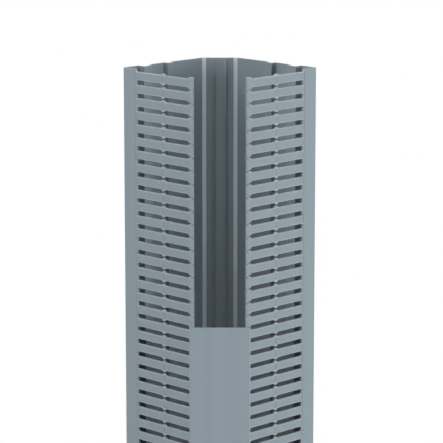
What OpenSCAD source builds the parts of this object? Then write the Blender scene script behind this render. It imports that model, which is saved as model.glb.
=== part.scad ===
// Corner wiring duct: a square tube turned 45 degrees, extruded in grey rigid PVC.
// Two plain walls lie against the two sides of an enclosure corner. The two walls that
// face the room are punched into flexible fingers, and a cover clips over the fingertips.
// +Z runs up the length, the mouth faces -Y, the blunt back edge faces +Y, millimetres.

/* [Length] */
// Length of the duct
duct_len = 1000; // [400:0.5:1200]
// How far the cover stops short of the duct's top end
cover_drop = 235; // [10:1:350]

/* [Section] */
// Half of the width across the two side corners
corner_half = 91.8; // [80:0.1:110]
// Half of the width of the blunt back edge
back_half = 17.4; // [16:0.1:24]
// Thickness of the walls
wall_t = 2; // [1.6:0.1:2.4]
// Outside radius of the two side corners
corner_r = 2; // [1:0.1:3]
// Fillet inside the two side corners
corner_fillet = 1.5; // [0.5:0.1:3]

/* [Rails on the mounting walls] */
// Distance of the tall rail from the corner, along the wall
tall_rail_at = 18.4; // [14:0.1:22]
// Width of the tall rail's face
tall_rail_w = 9.7; // [8:0.1:12]
// Height of the tall rail over the wall's inner face
tall_rail_h = 7.7; // [5:0.1:9]
// Distance of the low rail from the corner, along the wall
low_rail_at = 52.6; // [48:0.1:60]
// Width of the low rail's face
low_rail_w = 6.3; // [5.5:0.1:8]
// Height of the low rail over the wall's inner face
low_rail_h = 5.2; // [3:0.1:7]

/* [Back edge] */
// Width of the flat rib inside each bend of the back edge
bend_rib_w = 3.8; // [3:0.1:6]
// Height of a bend rib over the inner face
bend_rib_h = 0.6; // [0.3:0.1:1.5]
// Half of the distance between the two drilling guides
guide_at = 6; // [4:0.1:8]
// Width of a drilling guide at its foot
guide_w = 4.6; // [2:0.1:6]
// Height of a drilling guide
guide_h = 2; // [0.5:0.1:2.5]

/* [Slots and fingers] */
// Distance from slot to slot
slot_pitch = 12.5; // [11:0.1:16]
// Width of a slot
slot_w = 4.7; // [4.4:0.1:6]
// Solid strip between the corner and the slots, along the wall
strip_w = 18.4; // [15:0.1:26]
// Radius of the corners at the root of a slot
root_r = 0.8; // [0.3:0.1:2]
// Distance of the slots' waist from the corner, along the wall
waist_at = 54.8; // [45:0.1:65]
// Gap that is left between the two nubs of a waist
waist_gap = 1.6; // [1:0.1:3]
// Length of a nub at its foot
nub_foot = 5.3; // [4:0.1:8]
// Length of a nub at its top
nub_top = 2.4; // [1:0.1:3.5]
// Length of a finger's wide head, measured along the wall up to the bend
head_len = 4.2; // [3:0.1:8]
// Length over which the slot narrows to the head
head_taper = 0.5; // [0.3:0.1:3]
// Gap between two heads
head_gap = 1.4; // [0.6:0.1:3]
// Distance of the root score line from the slots, on the strip
score_inset = 1.2; // [0.6:0.1:4]
// Width of the score lines on which fingers are broken off
score_w = 0.8; // [0.4:0.1:0.9]
// Depth of the score lines
score_depth = 0.35; // [0.1:0.05:0.6]

/* [Fingertips] */
// Half of the mouth's width, between the fingertips
mouth_half = 23.9; // [20:0.1:30]
// Thickness of the leg at a fingertip
leg_t = 2; // [1.4:0.1:2.4]
// Length of the leg in front of the bend
leg_len = 6; // [5.6:0.1:10]
// How far the barb stands out from the leg
barb_out = 1; // [0.6:0.1:1.6]
// Distance of the barb's nose from the tip
barb_nose = 2; // [1:0.1:2.4]
// Distance of the barb's heel from the tip
barb_heel = 2.7; // [2.5:0.1:3.2]
// Lead-in at the tip of the leg
tip_lead = 0.4; // [0.1:0.1:0.8]

/* [Cover] */
// Thickness of the cover's face
cover_t = 1.5; // [1.2:0.1:2.5]
// Thickness of the cover's skirts
skirt_t = 1.1; // [1:0.1:2]
// Radius of the cover's front edges
cover_r = 0.8; // [0.3:0.1:1]
// How far the hook stands in from the skirt
hook_in = 0.9; // [0.6:0.1:1.2]
// Flat land at the tip of the hook
hook_land = 0.6; // [0.3:0.1:1]
// Length of the hook's lead-in slope
hook_lead = 1.2; // [0.6:0.1:2]
// Clearance between the cover and the fingertips
fit_gap = 0.3; // [0.2:0.05:0.4]

/* [Hidden] */

pvc_grey = [0.56, 0.61, 0.64];
cover_grey = [0.58, 0.63, 0.66];

// Round stretches: corners in fine steps, the small slot roots in coarse ones
arc_step = 15;
root_step = 45;

// Both pairs of walls slant at 45 degrees
diagonal = sqrt(2);
lean = (diagonal - 1) * wall_t;
inner_corner = corner_half - diagonal * wall_t;
inner_back = back_half - lean;
back_y = corner_half - back_half;
inner_back_y = back_y - wall_t;
bend_rib_out = inner_back + bend_rib_h;

// Fingertips: the wall bends forwards into a leg
leg_out = mouth_half + leg_t;
bend_y = leg_out - corner_half;
tip_y = bend_y - leg_len;
bend_at = (corner_half - leg_out) * diagonal;
slot_end = bend_at - head_len;

// Cover, which keeps fit_gap from the tips and from the barbs
skirt_in = leg_out + barb_out + fit_gap;
cover_half = skirt_in + skirt_t;
face_in_y = tip_y - fit_gap;
face_out_y = face_in_y - cover_t;
hook_y = tip_y + barb_heel + fit_gap;
skirt_end_y = hook_y + hook_land + hook_lead;
cover_len = duct_len - cover_drop;

// The section is moved so that the origin is in the middle of its depth
centre_y = -(face_out_y + back_y) / 2;

// Whole fingers stand in the middle of the length, and the rest of it is cut clear of fingers
rounding = 0.001;
fingers = floor(duct_len / slot_pitch + rounding);
first_slot = (duct_len - fingers * slot_pitch) / 2;
last_slot = duct_len - first_slot;

// The punch reaches past the fingertips, and through the wall and the leg
punch_reach = bend_at + leg_len + diagonal * (leg_t + barb_out);
punch_depth = 2 * (leg_len + barb_out + wall_t);
comb_bar = slot_pitch;

// A point of a mounting wall: s along its outer face from the corner, n inwards
function mount(s, n) = [corner_half - (s + n) / diagonal, (s - n) / diagonal];

// A score line is a small V across the outer face of a slotted wall, u from the corner
function wall(u, n) = [corner_half - (u + n) / diagonal, (n - u) / diagonal];
function score(u) = [wall(u - score_w / 2, 0), wall(u, score_depth), wall(u + score_w / 2, 0)];

// A quarter turn about a point on the X axis, from the mounting wall to the slotted wall
function corner_arc(x, r) = [for (a = [45 : -arc_step : -45]) [x + r * cos(a), r * sin(a)]];

function reversed(points) = [for (i = [len(points) - 1 : -1 : 0]) points[i]];
function mirrored(points) = [for (p = reversed(points)) [-p.x, p.y]];
function raised(points, z) = [for (p = points) [p.x, p.y + z]];
function flipped(points) = [for (p = reversed(points)) [p.x, -p.y]];

// A rail is the wall folded inwards, so its back is an open channel in the mounting face. Its
// side towards the corner is square to the wall, and its other side faces the middle of the duct
function channel(at, w, h) = [
    mount(at + w + h - lean, 0), mount(at + w - lean, h), mount(at + wall_t, h), mount(at + wall_t, 0)
];
function rail(at, w, h) = [
    mount(at, wall_t), mount(at, wall_t + h), mount(at + w, wall_t + h), mount(at + w + h, wall_t)
];

// One half of the wall all round: from the back edge to the fingertip outside, and inside to
// the rib in the bend and the ridge that guides a drill
half_outline = concat(
    [[back_half, back_y]],
    channel(low_rail_at, low_rail_w, low_rail_h),
    channel(tall_rail_at, tall_rail_w, tall_rail_h),
    corner_arc(corner_half - diagonal * corner_r, corner_r),
    score(strip_w - score_inset),
    score(waist_at),
    [
        [leg_out, bend_y],
        [leg_out, tip_y + barb_heel],
        [leg_out + barb_out, tip_y + barb_nose],
        [leg_out - tip_lead, tip_y],
        [mouth_half, tip_y],
        [mouth_half, mouth_half - inner_corner]
    ],
    reversed(corner_arc(inner_corner - diagonal * corner_fillet, corner_fillet)),
    rail(tall_rail_at, tall_rail_w, tall_rail_h),
    rail(low_rail_at, low_rail_w, low_rail_h),
    [
        [bend_rib_out, inner_back_y - bend_rib_h],
        [bend_rib_out - bend_rib_w, inner_back_y - bend_rib_h],
        [bend_rib_out - bend_rib_w, inner_back_y],
        [guide_at + guide_w / 2, inner_back_y],
        [guide_at, inner_back_y - guide_h],
        [guide_at - guide_w / 2, inner_back_y]
    ]
);

// The upper edge of a slot, from its root to past the fingertips
root_centre = [strip_w + root_r, slot_w / 2 - root_r];
slot_edge = concat(
    [for (a = [180 : -root_step : 90]) root_centre + root_r * [cos(a), sin(a)]],
    [
        [waist_at - nub_foot / 2, slot_w / 2],
        [waist_at - nub_top / 2, waist_gap / 2],
        [waist_at + nub_top / 2, waist_gap / 2],
        [waist_at + nub_foot / 2, slot_w / 2],
        [slot_end - head_taper, slot_w / 2],
        [slot_end, head_gap / 2],
        [punch_reach, head_gap / 2]
    ]
);

// The comb that punches one wall: a tooth for each slot, held by a bar past the fingertips
comb = concat(
    [[punch_reach + comb_bar, -slot_pitch], [strip_w, -slot_pitch], [strip_w, first_slot]],
    raised(slot_edge, first_slot),
    [for (k = [1 : fingers - 1])
        for (p = raised(concat(flipped(slot_edge), slot_edge), first_slot + k * slot_pitch)) p],
    raised(flipped(slot_edge), last_slot),
    [[strip_w, last_slot], [strip_w, duct_len + slot_pitch], [punch_reach + comb_bar, duct_len + slot_pitch]]
);

// The comb of the right wall stands along the wall, and goes square through it
module wall_punch() {
    translate([corner_half, 0, 0])
        rotate([0, 0, 225])
            rotate([90, 0, 0])
                linear_extrude(punch_depth, center = true) polygon(comb);
}

module duct_body() {
    color(pvc_grey)
        translate([0, centre_y, 0])
            difference() {
                linear_extrude(duct_len) polygon(concat(half_outline, mirrored(half_outline)));
                wall_punch();
                mirror([1, 0, 0]) wall_punch();
            }
}

// One half of the cover, from its front face round the skirt to the hook and inside
cover_outline = concat(
    [for (a = [0 : arc_step : 90])
        [cover_half - cover_r + cover_r * sin(a), face_out_y + cover_r - cover_r * cos(a)]],
    [
        [cover_half, skirt_end_y],
        [skirt_in, skirt_end_y],
        [skirt_in - hook_in, hook_y + hook_land],
        [skirt_in - hook_in, hook_y],
        [skirt_in, hook_y],
        [skirt_in, face_in_y]
    ]
);

module cover() {
    color(cover_grey)
        translate([0, centre_y, 0])
            linear_extrude(cover_len) polygon(concat(cover_outline, mirrored(cover_outline)));
}

duct_body();
cover();
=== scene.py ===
import math

import bpy
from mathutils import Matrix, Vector


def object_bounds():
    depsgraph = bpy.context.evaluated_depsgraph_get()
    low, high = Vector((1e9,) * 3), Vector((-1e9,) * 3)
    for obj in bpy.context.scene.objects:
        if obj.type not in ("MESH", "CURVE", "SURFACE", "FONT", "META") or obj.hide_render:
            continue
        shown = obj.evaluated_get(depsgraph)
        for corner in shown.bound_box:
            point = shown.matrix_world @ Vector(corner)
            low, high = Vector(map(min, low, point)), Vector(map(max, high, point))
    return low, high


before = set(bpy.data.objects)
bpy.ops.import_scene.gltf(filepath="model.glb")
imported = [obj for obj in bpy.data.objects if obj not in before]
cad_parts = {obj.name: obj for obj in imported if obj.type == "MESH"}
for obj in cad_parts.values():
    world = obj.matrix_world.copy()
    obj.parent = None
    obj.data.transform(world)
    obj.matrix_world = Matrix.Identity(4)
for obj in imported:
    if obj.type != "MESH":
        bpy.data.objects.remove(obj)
cad_low, cad_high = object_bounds()


# The duct body: one length of rigid grey PVC, extruded through a die as a square tube turned
# 45 degrees. Its two front walls are then punched into fingers, and the length is sawn off.
# Die lines run along the length, and every sawn or punched face is paler and duller.
MM = 0.001
DUCT_GREY = (146, 160, 169)
DUCT_ROUGH = 0.46
DUCT_DIE_LINES = 0.07
DUCT_STREAKS = 0.08

# The marks of the die: how many to a metre, how they are drawn out along the length, how much
# they change the tone and the roughness, and their height in units of the relief.
RELIEF = 0.04 * MM
DIE_LINES_PER_M = 700
DIE_LINES_DRAWN = (1.0, 1.0, 0.004)
DIE_LINES_ROUGH = 0.25
DIE_LINES_HIGH = 0.5
STREAKS_PER_M = 90
STREAKS_DRAWN = (1.0, 1.0, 0.02)
STREAKS_HIGH = 1.5
CLOUDS_PER_M = 9
CLOUDS_TONE = 0.04
GRAIN_PER_M = 2600
GRAIN_TONE = 0.04
GRAIN_ROUGH = 0.12
GRAIN_HIGH = 0.25

# The marks of the saw and the punch. A face counts as cut when it looks up or down by more than
# a little, and noise is nearly always between its low and its high mark.
CUT_GREY = (186, 194, 199)
CUT_FACING = 0.2
FACING_BLUR = 0.1
CUT_ROUGH = 0.15
SAW_MARKS_PER_M = 1500
SAW_MARKS_DRAWN = (1.0, 0.08, 0.3)
SAW_MARKS_LEAST = 0.6
SAW_MARKS_HIGH = 1.2
RIM_WHITE_PER_M = 260
RIM_WHITE_LEAST = 0.6
RIM_WHITE_MOST = 0.95
RIM_DEEP = 3.0
NOISE_LOW = 0.3
NOISE_HIGH = 0.7


def paint(red, green, blue):
    """A colour given as it is seen on a screen, from 0 to 255, as a shader takes it."""
    parts = [value / 255 for value in (red, green, blue)]
    linear = [p / 12.92 if p <= 0.04045 else ((p + 0.055) / 1.055) ** 2.4 for p in parts]
    return (*linear, 1.0)


def put(tree, kind, inputs=(), **settings):
    """Adds a shader node. An input is a plain value, or the socket that feeds it."""
    node = tree.nodes.new(kind)
    for name, value in settings.items():
        setattr(node, name, value)
    for name, value in dict(inputs).items():
        if isinstance(value, bpy.types.NodeSocket):
            tree.links.new(value, node.inputs[name])
        else:
            node.inputs[name].default_value = value
    return node


def sums(tree, operation, first, second=0.0, clamp=False):
    """One step of arithmetic on numbers or sockets, as a Math node."""
    node = put(tree, "ShaderNodeMath", {0: first, 1: second}, operation=operation, use_clamp=clamp)
    return node.outputs[0]


def add_all(tree, *values):
    """The sum of several sockets."""
    total = values[0]
    for value in values[1:]:
        total = sums(tree, "ADD", total, value)
    return total


def times_all(tree, *values):
    """The product of several sockets."""
    total = values[0]
    for value in values[1:]:
        total = sums(tree, "MULTIPLY", total, value)
    return total


def about_zero(tree, noise, amount):
    """Noise made to swing both ways about zero, by an amount."""
    return sums(tree, "MULTIPLY", sums(tree, "SUBTRACT", noise, 0.5), amount)


def ramp(tree, value, low, high, to_low=0.0, to_high=1.0):
    """Carries a value from one range to another with a soft start and end."""
    ends = {"Value": value, "From Min": low, "From Max": high, "To Min": to_low, "To Max": to_high}
    return put(tree, "ShaderNodeMapRange", ends, interpolation_type="SMOOTHSTEP").outputs["Result"]


def mix_colours(tree, share, first, second):
    """Goes from the first colour to the second. Sockets 6 and 7 are a Mix node's colours."""
    node = put(tree, "ShaderNodeMix", {0: share, 6: first, 7: second}, data_type="RGBA")
    return node.outputs[2]


def place_on(tree):
    """Where a point lies in the object's own frame, as X, Y and Z."""
    place = put(tree, "ShaderNodeTexCoord").outputs["Object"]
    return put(tree, "ShaderNodeSeparateXYZ", {0: place}).outputs


def facing_on(tree):
    """Which way a point of the surface faces in the object's own frame, as X, Y and Z."""
    facing = put(tree, "ShaderNodeTexCoord").outputs["Normal"]
    return put(tree, "ShaderNodeSeparateXYZ", {0: facing}).outputs


def noise_on(tree, per_metre, drawn=(1.0, 1.0, 1.0), detail=2.0):
    """Noise in object space. A value under 1 draws it out along that axis."""
    place = put(tree, "ShaderNodeTexCoord").outputs["Object"]
    scaled = put(tree, "ShaderNodeMapping", {"Vector": place, "Scale": drawn})
    inputs = {"Vector": scaled.outputs[0], "Scale": per_metre, "Detail": detail}
    return put(tree, "ShaderNodeTexNoise", inputs).outputs["Fac"]


def new_group(name, inputs, outputs):
    """An empty shader node group with its sockets, and the nodes at its two ends."""
    group = bpy.data.node_groups.new(name, "ShaderNodeTree")
    for socket, kind in inputs:
        group.interface.new_socket(socket, in_out="INPUT", socket_type="NodeSocket" + kind)
    for socket, kind in outputs:
        group.interface.new_socket(socket, in_out="OUTPUT", socket_type="NodeSocket" + kind)
    return group, put(group, "NodeGroupInput").outputs, put(group, "NodeGroupOutput").inputs


def extruded_finish():
    """Die lines, broad streaks, clouding and fine grain that an extruded PVC wall carries."""
    group, given, result = new_group(
        "extruded_finish",
        [("Colour", "Color"), ("Roughness", "Float"), ("Die lines", "Float"), ("Streaks", "Float")],
        [("Colour", "Color"), ("Roughness", "Float"), ("Height", "Float")],
    )
    lines = noise_on(group, DIE_LINES_PER_M, DIE_LINES_DRAWN, detail=3.0)
    streaks = noise_on(group, STREAKS_PER_M, STREAKS_DRAWN)
    clouds = noise_on(group, CLOUDS_PER_M)
    grain = noise_on(group, GRAIN_PER_M)
    change = add_all(
        group,
        about_zero(group, lines, given["Die lines"]),
        about_zero(group, streaks, given["Streaks"]),
        about_zero(group, clouds, CLOUDS_TONE),
        about_zero(group, grain, GRAIN_TONE),
    )
    tone = sums(group, "ADD", change, 1.0)
    colour = put(group, "ShaderNodeHueSaturation", {"Value": tone, "Color": given["Colour"]})
    rough = add_all(
        group,
        given["Roughness"],
        about_zero(group, lines, DIE_LINES_ROUGH),
        about_zero(group, grain, GRAIN_ROUGH),
    )
    height = add_all(
        group,
        sums(group, "MULTIPLY", lines, DIE_LINES_HIGH),
        sums(group, "MULTIPLY", streaks, STREAKS_HIGH),
        sums(group, "MULTIPLY", grain, GRAIN_HIGH),
    )
    group.links.new(colour.outputs[0], result["Colour"])
    group.links.new(rough, result["Roughness"])
    group.links.new(height, result["Height"])
    return group


def cut_finish():
    """Saw marks on the cut faces, and the rims that the punch has drawn in and whitened."""
    group, given, result = new_group(
        "cut_finish",
        [
            ("Colour", "Color"), ("Cut colour", "Color"), ("Roughness", "Float"),
            ("Height", "Float"), ("Rim", "Float"),
        ],
        [("Colour", "Color"), ("Roughness", "Float"), ("Height", "Float")],
    )
    tilt = sums(group, "ABSOLUTE", facing_on(group)["Z"])
    cut = ramp(group, tilt, CUT_FACING - FACING_BLUR, CUT_FACING + FACING_BLUR)
    saw_marks = noise_on(group, SAW_MARKS_PER_M, SAW_MARKS_DRAWN, detail=4.0)
    sawn = ramp(group, saw_marks, NOISE_LOW, NOISE_HIGH, SAW_MARKS_LEAST, 1.0)
    marked = sums(group, "MULTIPLY", cut, sawn)
    patches = noise_on(group, RIM_WHITE_PER_M)
    whitening = ramp(group, patches, NOISE_LOW, NOISE_HIGH, RIM_WHITE_LEAST, RIM_WHITE_MOST)
    whitened = sums(group, "MULTIPLY", given["Rim"], whitening)
    share = sums(group, "MAXIMUM", marked, whitened)
    colour = mix_colours(group, share, given["Colour"], given["Cut colour"])
    dulled = sums(group, "MULTIPLY", cut, CUT_ROUGH)
    rough = sums(group, "ADD", given["Roughness"], dulled, clamp=True)
    height = add_all(
        group,
        given["Height"],
        sums(group, "MULTIPLY", marked, SAW_MARKS_HIGH),
        sums(group, "MULTIPLY", given["Rim"], -RIM_DEEP),
    )
    group.links.new(colour, result["Colour"])
    group.links.new(rough, result["Roughness"])
    group.links.new(height, result["Height"])
    return group


EXTRUDED = extruded_finish()
CUT = cut_finish()


def pvc(name, tone, roughness, die_lines, streaks):
    """A material of extruded PVC. Its two finishes are nodes named extruded and cut."""
    material = bpy.data.materials.new(name)
    material.use_nodes = True
    tree = material.node_tree
    given = {
        "Colour": paint(*tone), "Roughness": roughness, "Die lines": die_lines, "Streaks": streaks,
    }
    extruded = put(tree, "ShaderNodeGroup", given, node_tree=EXTRUDED, name="extruded")
    passed_on = {socket: extruded.outputs[socket] for socket in ("Colour", "Roughness", "Height")}
    passed_on["Cut colour"] = paint(*CUT_GREY)
    cut = put(tree, "ShaderNodeGroup", passed_on, node_tree=CUT, name="cut")
    relief = put(tree, "ShaderNodeBump", {"Distance": RELIEF, "Height": cut.outputs["Height"]})
    skin = tree.nodes["Principled BSDF"]
    tree.links.new(cut.outputs["Colour"], skin.inputs["Base Color"])
    tree.links.new(cut.outputs["Roughness"], skin.inputs["Roughness"])
    tree.links.new(relief.outputs["Normal"], skin.inputs["Normal"])
    return material


def give(node, material):
    """Puts a material on a CAD node in place of its plain one."""
    node.data.materials.clear()
    node.data.materials.append(material)


duct_pvc = pvc("duct_pvc", DUCT_GREY, DUCT_ROUGH, DUCT_DIE_LINES, DUCT_STREAKS)
give(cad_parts["duct_body"], duct_pvc)


# The pale strips: a painted highlight on the fronts of the two flat ribs inside the bends of the
# back edge, where they catch the light.
# A much paler colour stands in for that glint, and the strips are also given a smoother finish. The
# strips belong to the duct body's surface.
STRIP_HIGHLIGHT_GREY = (230, 243, 251)
STRIP_ROUGH = 0.25
STRIP_IN = 13.4 * MM
STRIP_OUT = 17.2 * MM
STRIP_BLUR = 0.6 * MM
STRIP_DEPTH = 2.6 * MM
STRIP_FACE = cad_high[1] - STRIP_DEPTH
STRIP_FACING = -0.4


def strip_highlight_mask(tree):
    """Where the painted highlight lies: on the front of the two ribs, on both sides of the middle.
    """
    at = place_on(tree)
    across = sums(tree, "ABSOLUTE", at["X"])
    inner = ramp(tree, across, STRIP_IN - STRIP_BLUR, STRIP_IN + STRIP_BLUR)
    outer = ramp(tree, across, STRIP_OUT - STRIP_BLUR, STRIP_OUT + STRIP_BLUR, 1.0, 0.0)
    behind = ramp(tree, at["Y"], STRIP_FACE - 2 * STRIP_BLUR, STRIP_FACE - STRIP_BLUR)
    turned = facing_on(tree)["Y"]
    forward = ramp(tree, turned, STRIP_FACING - FACING_BLUR, STRIP_FACING + FACING_BLUR, 1.0, 0.0)
    return times_all(tree, inner, outer, behind, forward)


duct_tree = duct_pvc.node_tree
highlight_strips = strip_highlight_mask(duct_tree)
# The painted highlight: on the strips the duct's grey turns to a much paler grey, and the finish
# turns smoother.
duct_tone = mix_colours(duct_tree, highlight_strips, paint(*DUCT_GREY), paint(*STRIP_HIGHLIGHT_GREY))
duct_rough = ramp(duct_tree, highlight_strips, 0.0, 1.0, DUCT_ROUGH, STRIP_ROUGH)
duct_tree.links.new(duct_tone, duct_tree.nodes["extruded"].inputs["Colour"])
duct_tree.links.new(duct_rough, duct_tree.nodes["extruded"].inputs["Roughness"])


# The slot rims: the punch that cuts the fingers draws the wall in a little along both edges of
# every slot, and whitens it there. The rims follow the slots, one every pitch up the length.
SLOT_PITCH = 12.5 * MM
SLOT_HALF = 2.35 * MM
SLOT_ROOT = 78.8 * MM
SLOT_HEAD = 29.2 * MM
SLOT_BACK = -10 * MM
RIM = 1.2 * MM


def rim_mask(tree):
    """Where the rims lie: on the two punched walls, from the slots' roots to the heads."""
    at = place_on(tree)
    from_slot = sums(tree, "PINGPONG", at["Z"], SLOT_PITCH / 2)
    beside = ramp(tree, from_slot, SLOT_HALF, SLOT_HALF + RIM, 1.0, 0.0)
    across = sums(tree, "ABSOLUTE", at["X"])
    root = ramp(tree, across, SLOT_ROOT, SLOT_ROOT + RIM, 1.0, 0.0)
    head = ramp(tree, across, SLOT_HEAD - RIM, SLOT_HEAD)
    front = ramp(tree, at["Y"], SLOT_BACK - RIM, SLOT_BACK, 1.0, 0.0)
    return times_all(tree, beside, root, head, front)


duct_tree.links.new(rim_mask(duct_tree), duct_tree.nodes["cut"].inputs["Rim"])


# The cover: a second extrusion of the same PVC, a flat strip with a hooked skirt along each
# side. It is clipped over the fingertips and can be slid along them.
COVER_GREY = (150, 164, 173)
COVER_ROUGH = 0.42
COVER_DIE_LINES = 0.07
COVER_STREAKS = 0.1

cover_pvc = pvc("cover_pvc", COVER_GREY, COVER_ROUGH, COVER_DIE_LINES, COVER_STREAKS)
give(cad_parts["cover"], cover_pvc)


# The surroundings: a round pale floor under a white studio. Inside the duct and at its foot the
# floor shows its own shade, around it the floor is paler, and far out it fades into white.
FLOOR_RADIUS = 2.0
FLOOR_CORNERS = 96
FLOOR_COLOUR = (0.82, 0.82, 0.82, 1.0)
FLOOR_GLOW = 0.4
SHADE_START = 0.1
SHADE_END = 0.4
FADE_START = 0.5
FADE_END = 1.6
STUDIO_WHITE = (1.0, 1.0, 1.0, 1.0)
AMBIENT = 0.03


def sees_white(tree):
    """1 for the rays that show the background: from the camera, a reflection or glass."""
    rays = put(tree, "ShaderNodeLightPath").outputs
    seen = sums(tree, "ADD", rays["Is Camera Ray"], rays["Is Glossy Ray"])
    return sums(tree, "ADD", seen, rays["Is Transmission Ray"], clamp=True)


bpy.ops.object.select_all(action="DESELECT")
bpy.ops.mesh.primitive_circle_add(vertices=FLOOR_CORNERS, radius=FLOOR_RADIUS, fill_type="NGON")
floor = bpy.context.object
floor.name = "floor"
floor_paint = bpy.data.materials.new("floor_paint")
floor_paint.use_nodes = True
floor_tree = floor_paint.node_tree
floor_tree.nodes.clear()
matt = put(floor_tree, "ShaderNodeBsdfDiffuse", {"Color": FLOOR_COLOUR})
white = put(floor_tree, "ShaderNodeEmission", {"Color": STUDIO_WHITE, "Strength": 1.0})
place = put(floor_tree, "ShaderNodeTexCoord").outputs["Object"]
distance = put(floor_tree, "ShaderNodeVectorMath", {0: place}, operation="LENGTH").outputs["Value"]
near = ramp(floor_tree, distance, SHADE_START, SHADE_END, 0.0, FLOOR_GLOW)
far = ramp(floor_tree, distance, FADE_START, FADE_END, 0.0, 1.0 - FLOOR_GLOW)
faded = sums(floor_tree, "MULTIPLY", sums(floor_tree, "ADD", near, far), sees_white(floor_tree))
surface = put(floor_tree, "ShaderNodeMixShader", {0: faded, 1: matt.outputs[0], 2: white.outputs[0]})
put(floor_tree, "ShaderNodeOutputMaterial", {"Surface": surface.outputs[0]})
floor.data.materials.append(floor_paint)

studio = bpy.data.worlds.new("white_studio")
studio.use_nodes = True
bpy.context.scene.world = studio
studio_tree = studio.node_tree
studio_tree.nodes.clear()
strength = ramp(studio_tree, sees_white(studio_tree), 0.0, 1.0, AMBIENT, 1.0)
sky = put(studio_tree, "ShaderNodeBackground", {"Color": STUDIO_WHITE, "Strength": strength})
put(studio_tree, "ShaderNodeOutputWorld", {"Surface": sky.outputs[0]})


# The lamps: soft boxes of nearly white light, level with the duct on both sides in front, high
# at the sides to reach into its open top, and behind for the two mounting walls. The one over
# the top is a little warmer, as a ceiling light is.
MIDDLE = (0, 0, 0.8)
OPENING = (0, 0, 0.9)
TOP_END = (0, 0, 1.0)
BACK = (0, 0, 0.5)
PLAIN = (1.0, 1.0, 1.0)
WARM = (1.0, 0.84, 0.74)


def lamp(name, at, towards, size, power, tint):
    """A square soft box that is itself out of sight."""
    light = bpy.data.lights.new(name, "AREA")
    light.size = size
    light.energy = power
    light.color = tint
    box = bpy.data.objects.new(name, light)
    bpy.context.scene.collection.objects.link(box)
    box.location = at
    box.rotation_euler = (Vector(towards) - Vector(at)).to_track_quat("-Z", "Y").to_euler()
    box.visible_camera = False


lamp("left_box", (-1.4, -1.4, 0.9), MIDDLE, size=0.8, power=8.8, tint=(0.96, 1.0, 1.0))
lamp("right_box", (1.4, -1.4, 0.9), MIDDLE, size=0.8, power=8.8, tint=PLAIN)
lamp("right_front_box", (1.5, -1.5, 1.25), MIDDLE, size=0.4, power=4.6, tint=PLAIN)
lamp("right_side_box", (1.9, -0.7, 0.9), MIDDLE, size=0.8, power=8, tint=(0.94, 1.0, 1.0))
lamp("left_high_box", (-1.9, -0.6, 2.0), OPENING, size=0.8, power=10.4, tint=(0.95, 1.0, 1.0))
lamp("right_high_box", (1.9, -0.6, 2.0), OPENING, size=0.8, power=6, tint=(0.96, 1.0, 1.0))
lamp("left_top_box", (-0.9, -0.3, 2.2), TOP_END, size=0.6, power=2.2, tint=PLAIN)
lamp("top_box", (-0.35, -0.3, 2.3), OPENING, size=0.4, power=6.6, tint=WARM)
lamp("left_back_box", (-1.6, 1.8, 1.4), BACK, size=1.2, power=26, tint=PLAIN)
lamp("right_back_box", (1.6, 1.8, 1.4), BACK, size=1.2, power=26, tint=PLAIN)


# The camera: a long lens from a little above the top end, square to the cover and tilted down,
# so that it looks into the open top. The lens is not shifted, and everything is in focus.
LENS = 194.0
SENSOR = 36.0
EYE = (0.0, -2.241, 1.294)
PITCH = 0.1949
YAW = -0.0007

view = bpy.data.cameras.new("camera")
view.sensor_width = SENSOR
view.lens = LENS
camera = bpy.data.objects.new("camera", view)
bpy.context.scene.collection.objects.link(camera)
camera.location = EYE
camera.rotation_euler = (math.pi / 2 - PITCH, 0, YAW)
bpy.context.scene.camera = camera
bpy.context.scene.view_settings.view_transform = "Standard"
